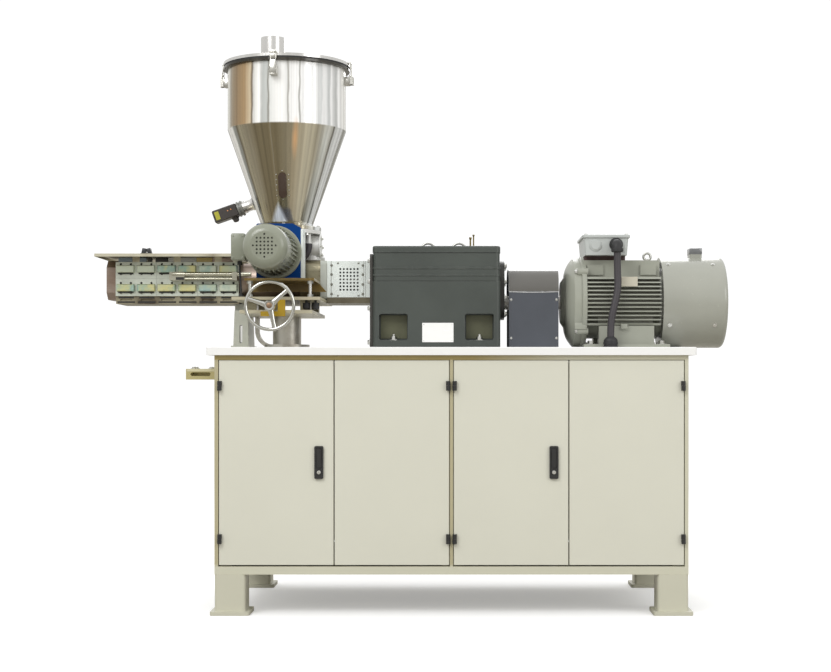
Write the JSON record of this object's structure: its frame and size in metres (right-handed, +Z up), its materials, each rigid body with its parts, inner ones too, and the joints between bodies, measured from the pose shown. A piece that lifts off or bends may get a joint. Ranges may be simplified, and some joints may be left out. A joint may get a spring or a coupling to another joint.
{
  "type": "conical twin-screw plastic extruder on a cabinet",
  "caption": "Small plastic extruder: a heated barrel fed by a steel hopper, with gearbox, coupling and finned motor in line on a table-height cabinet with hinged doors.",
  "frame": {"origin": "on the floor, under the middle of the whole outline", "axes": "+X along the machine from the barrel end towards the motor, -Y the door side, +Z up"},
  "size_m": [2.129, 0.885, 1.943],
  "materials": {
    "cabinet_paint": "semi-gloss cream powder coat",
    "table_paint": "satin white paint",
    "black_fittings": "satin black",
    "gearbox_paint": "satin dark grey paint",
    "guard_paint": "satin slate paint",
    "motor_paint": "semi-gloss grey-green paint",
    "zinc": "zinc plated",
    "machined_steel": "machined steel",
    "heater_cast": "cast and tinted",
    "cover_sheet": "brushed sheet",
    "cream_plate": "cream paint",
    "light_grey_paint": "light grey paint",
    "worm_blue": "gloss blue paint",
    "yellow_paint": "yellow paint",
    "chrome": "polished",
    "stainless": "polished stainless",
    "dark_rubber": "matt black",
    "dark_glass": "dark sight glass",
    "probe_black": "black moulding"
  },
  "bodies": {
    "root": {"air_duct": "heater_cast", "barrel": "machined_steel", "barrel_cover": "cover_sheet", "barrel_stand": "light_grey_paint", "cabinet_frame": "cabinet_paint", "cabinet_panels": "cabinet_paint", "cable_fittings": "dark_rubber", "clamp_blocks": "zinc", "clamp_knobs": "dark_rubber", "coupling_guard": "guard_paint", "dosing_housing": "stainless", "fan_cowl": "motor_paint", "feed_throat": "machined_steel", "feeder_cable": "dark_rubber", "feeder_cable_ends": "dark_rubber", "feeder_cowl": "motor_paint", "feeder_motor": "motor_paint", "feeder_shelf": "cream_plate", "feeder_terminal_box": "motor_paint", "gearbox_end_covers": "gearbox_paint", "gearbox_lower": "gearbox_paint", "gearbox_upper": "gearbox_paint", "guard_base": "cover_sheet", "heaters": "heater_cast", "hinge_posts": "black_fittings", "hopper_lid": "stainless", "hopper_shell": "stainless", "legs": "cabinet_paint", "level_probe": "probe_black", "lid_gasket": "dark_rubber", "lid_latches": "stainless", "lifting_eyes": "zinc", "motor_cable": "dark_rubber", "motor_end_shield": "motor_paint", "motor_frame": "motor_paint", "oil_pipes": "machined_steel", "pedestal": "machined_steel", "perforated_guard": "light_grey_paint", "plate_blocks": "machined_steel", "posts": "cabinet_paint", "shafts": "machined_steel", "shelf_studs": "zinc", "side_bracket": "cabinet_paint", "sight_window": "dark_glass", "slide_plates": "cream_plate", "tabletop": "table_paint", "terminal_box": "motor_paint", "terminal_gasket": "dark_rubber", "wheel_bracket": "yellow_paint", "worm_gearbox": "worm_blue", "worm_side_plate": "light_grey_paint"},
    "door_1": {"door_1": "cabinet_paint", "door_1_fittings": "black_fittings"},
    "door_2": {"door_2": "cabinet_paint", "door_2_fittings": "black_fittings"},
    "door_3": {"door_3": "cabinet_paint", "door_3_fittings": "black_fittings"},
    "door_4": {"door_4": "cabinet_paint", "door_4_fittings": "black_fittings"},
    "handwheel": {"handwheel": "chrome"}
  },
  "joints": [
    {"name": "door_1_hinge", "type": "hinge", "parent": "root", "child": "door_1", "pos_m": [-0.617, -0.3405, 0.5], "axis": [0, 0, -1], "range_deg": [0, 90]},
    {"name": "door_2_hinge", "type": "hinge", "parent": "root", "child": "door_2", "pos_m": [0.12, -0.3405, 0.5], "axis": [0, 0, 1], "range_deg": [0, 90]},
    {"name": "door_3_hinge", "type": "hinge", "parent": "root", "child": "door_3", "pos_m": [0.141, -0.3405, 0.5], "axis": [0, 0, -1], "range_deg": [0, 90]},
    {"name": "door_4_hinge", "type": "hinge", "parent": "root", "child": "door_4", "pos_m": [0.878, -0.3405, 0.5], "axis": [0, 0, 1], "range_deg": [0, 90]},
    {"name": "handwheel_turn", "type": "hinge", "parent": "root", "child": "handwheel", "pos_m": [-0.4535, -0.3525, 0.998], "axis": [0, 1, 0], "continuous": true}
  ]
}
